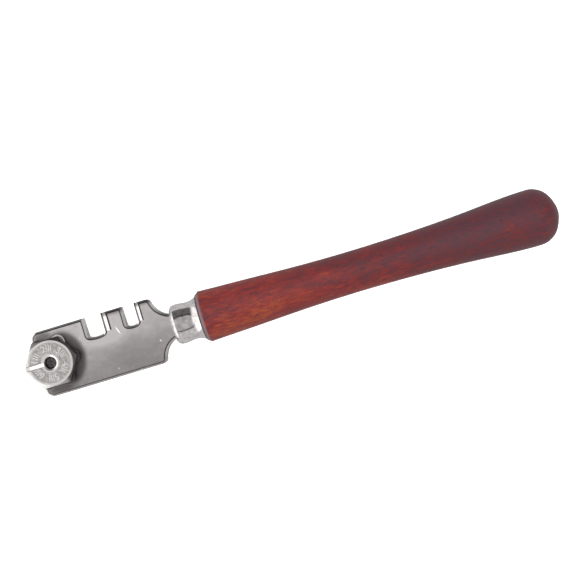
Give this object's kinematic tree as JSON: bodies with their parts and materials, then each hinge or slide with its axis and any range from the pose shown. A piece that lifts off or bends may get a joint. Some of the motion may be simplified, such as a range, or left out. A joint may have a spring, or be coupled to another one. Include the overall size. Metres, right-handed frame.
{
  "type": "turret glass cutter",
  "caption": "Glass cutter with a rotating turret of small cutting wheels on a flat steel head, notches for breaking strips, a ferrule and a turned wooden handle.",
  "frame": {"origin": "under the middle of the tool's length and width, level with the lowest point of the handle", "axes": "+X along the tool from the turret to the handle's end, +Y towards the edge with the breaking notches, +Z out of the turret's face"},
  "size_m": [0.13, 0.0156, 0.0136],
  "materials": {
    "plate_steel": "satin nickel plate",
    "turret_steel": "satin nickel plate",
    "ferrule_nickel": "polished",
    "handle_wood": "semi-gloss red lacquer",
    "spring_steel": "dull",
    "screw_black": "blackened",
    "wheel_steel": "hardened and ground",
    "axle_steel": "plain"
  },
  "bodies": {
    "head": {"head_plate": "plate_steel", "handle": "handle_wood", "ferrule": "ferrule_nickel", "spring_washer": "spring_steel"},
    "turret": {"turret": "turret_steel", "wheel_axle_1": "axle_steel", "wheel_axle_2": "axle_steel", "wheel_axle_3": "axle_steel", "wheel_axle_4": "axle_steel", "wheel_axle_5": "axle_steel", "wheel_axle_6": "axle_steel"},
    "pivot_screw": {"pivot_screw": "screw_black"},
    "wheel_1": {"cutting_wheel_1": "wheel_steel"},
    "wheel_2": {"cutting_wheel_2": "wheel_steel"},
    "wheel_3": {"cutting_wheel_3": "wheel_steel"},
    "wheel_4": {"cutting_wheel_4": "wheel_steel"},
    "wheel_5": {"cutting_wheel_5": "wheel_steel"},
    "wheel_6": {"cutting_wheel_6": "wheel_steel"}
  },
  "joints": [
    {"name": "turret_index", "type": "hinge", "parent": "head", "child": "turret", "pos_m": [-0.05845, 0, 0.0068], "axis": [0, 0, 1], "continuous": true},
    {"name": "screw_loosen", "type": "hinge", "parent": "head", "child": "pivot_screw", "pos_m": [-0.05845, 0, 0.0068], "axis": [0, 0, 1], "range_deg": [-180, 0]},
    {"name": "wheel_1_roll", "type": "hinge", "parent": "turret", "child": "wheel_1", "pos_m": [-0.0632, 0, 0.0098], "axis": [0, 0, 1], "continuous": true},
    {"name": "wheel_2_roll", "type": "hinge", "parent": "turret", "child": "wheel_2", "pos_m": [-0.06082, 0.00411, 0.0098], "axis": [0, 0, 1], "continuous": true},
    {"name": "wheel_3_roll", "type": "hinge", "parent": "turret", "child": "wheel_3", "pos_m": [-0.05607, 0.00411, 0.0098], "axis": [0, 0, 1], "continuous": true},
    {"name": "wheel_4_roll", "type": "hinge", "parent": "turret", "child": "wheel_4", "pos_m": [-0.0537, 0, 0.0098], "axis": [0, 0, 1], "continuous": true},
    {"name": "wheel_5_roll", "type": "hinge", "parent": "turret", "child": "wheel_5", "pos_m": [-0.05607, -0.00411, 0.0098], "axis": [0, 0, 1], "continuous": true},
    {"name": "wheel_6_roll", "type": "hinge", "parent": "turret", "child": "wheel_6", "pos_m": [-0.06082, -0.00411, 0.0098], "axis": [0, 0, 1], "continuous": true}
  ]
}
